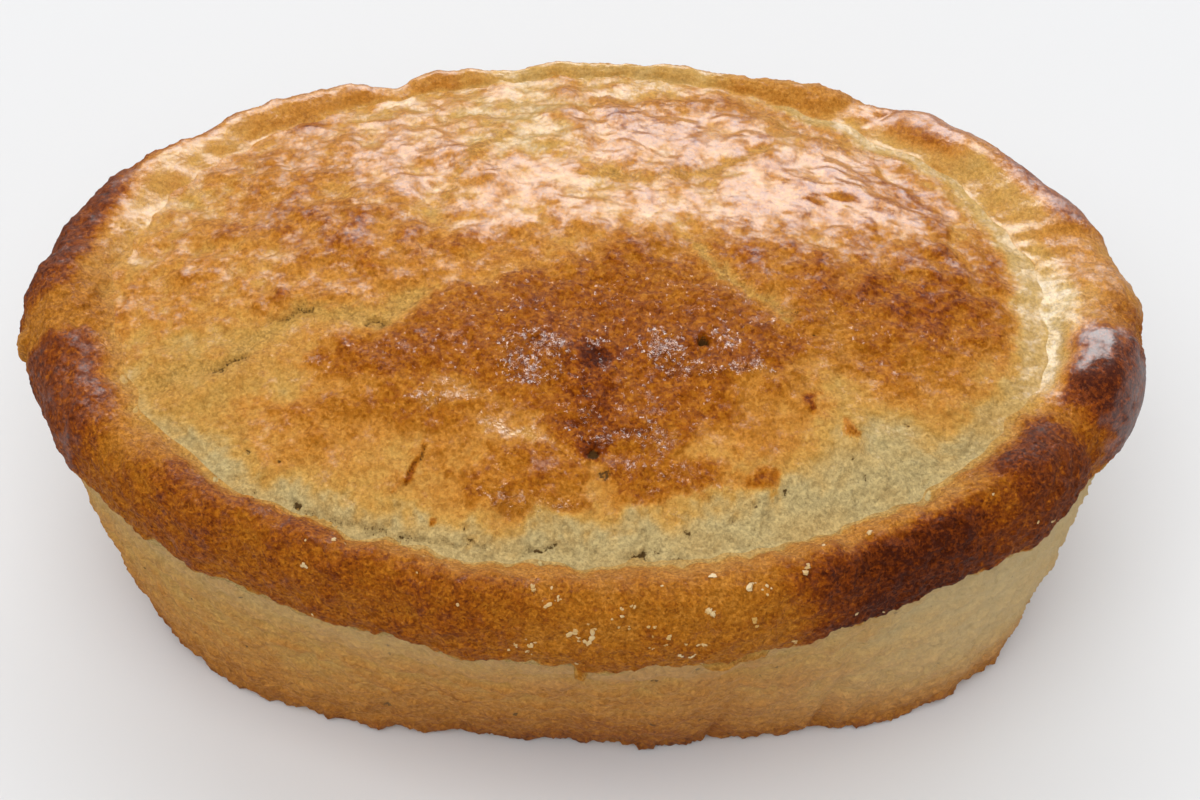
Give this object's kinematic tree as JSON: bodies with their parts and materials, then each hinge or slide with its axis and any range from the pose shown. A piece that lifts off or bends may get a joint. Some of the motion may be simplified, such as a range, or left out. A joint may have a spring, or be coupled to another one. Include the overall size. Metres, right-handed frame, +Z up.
{
  "type": "closed oval custard tart",
  "caption": "Oval closed custard tart: flared shortcrust case, thick pinched rim and a domed, egg-washed lid baked into one piece with a flat base.",
  "frame": {"origin": "middle of the bounding box in plan, on the flat base that the tart stands on", "axes": "+X along the oval's long way, +Y to the back, +Z up; the side in the picture's front faces -Y"},
  "size_m": [0.1048, 0.067, 0.0421],
  "materials": {
    "crust": "baked shortcrust, pale to dark golden brown, glossy where the egg wash took"
  },
  "bodies": {
    "root": {"tart": "crust"}
  },
  "joints": []
}
